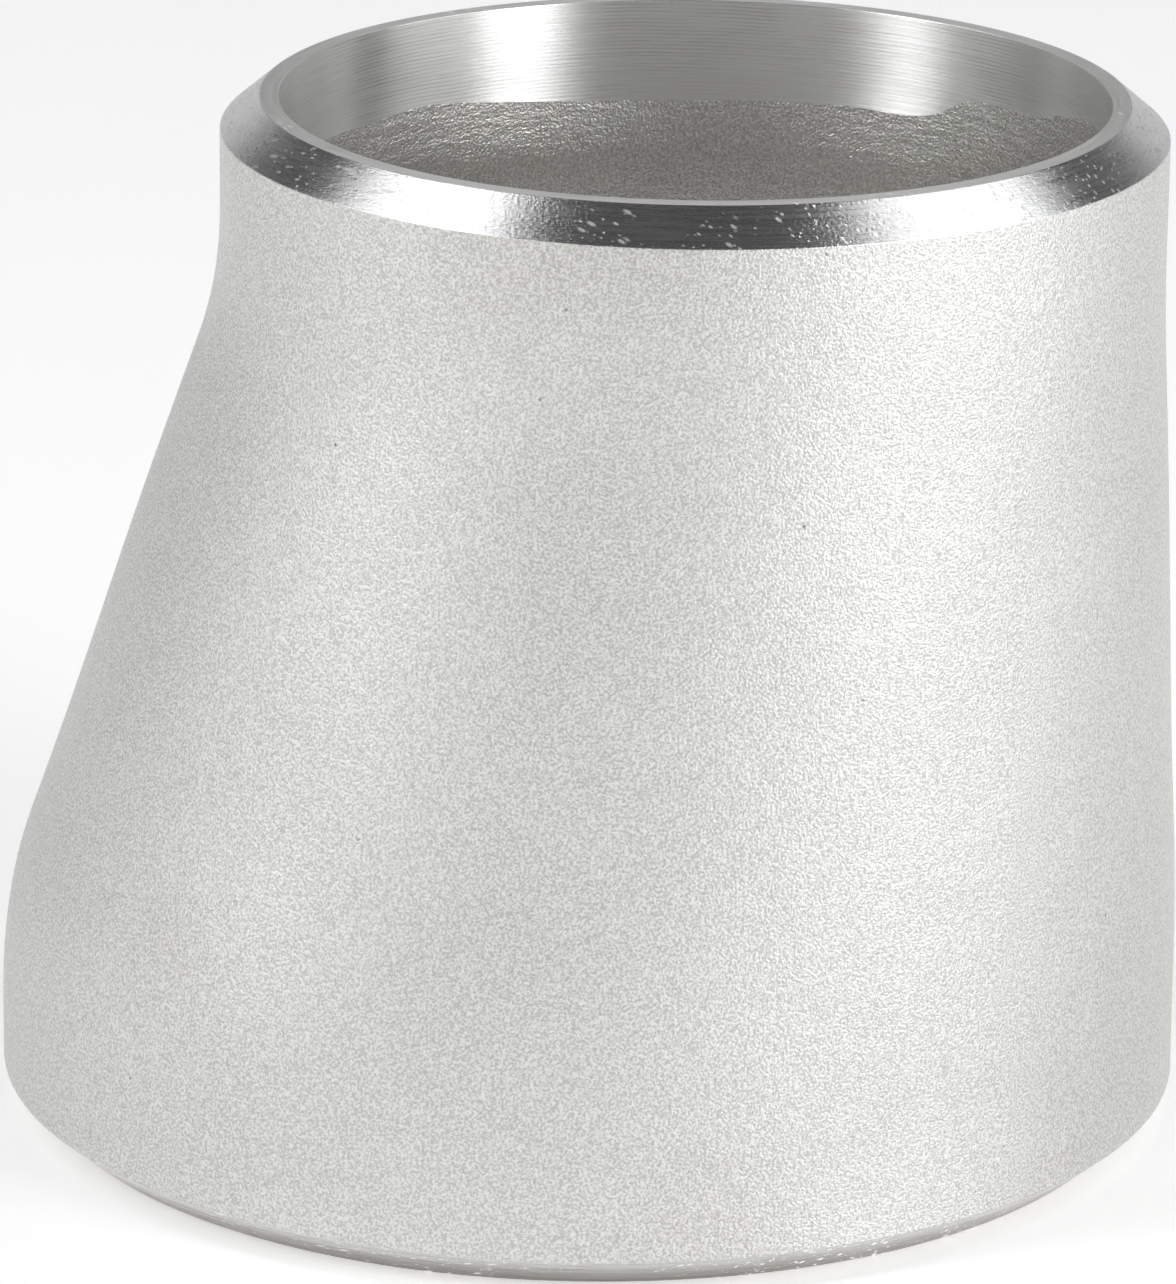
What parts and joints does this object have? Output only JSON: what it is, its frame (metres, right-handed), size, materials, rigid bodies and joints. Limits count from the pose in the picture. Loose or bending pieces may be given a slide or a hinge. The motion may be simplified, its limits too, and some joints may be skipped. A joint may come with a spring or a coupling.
{
  "type": "eccentric pipe reducer",
  "caption": "Butt-weld eccentric reducer in blasted steel: joins two pipe sizes with one side kept straight, with a machined weld bevel and bore at each end.",
  "frame": {"origin": "centre of the large weld face, on the large end's axis", "axes": "+Z runs from the large end to the small end, +X points out of the straight side, so the small end's axis is 12.7 mm along +X"},
  "size_m": [0.1142, 0.1142, 0.1016],
  "materials": {
    "stainless_body": "bead-blasted matte skin with bright turned weld ends"
  },
  "bodies": {
    "root": {"reducer_body": "stainless_body"}
  },
  "joints": []
}
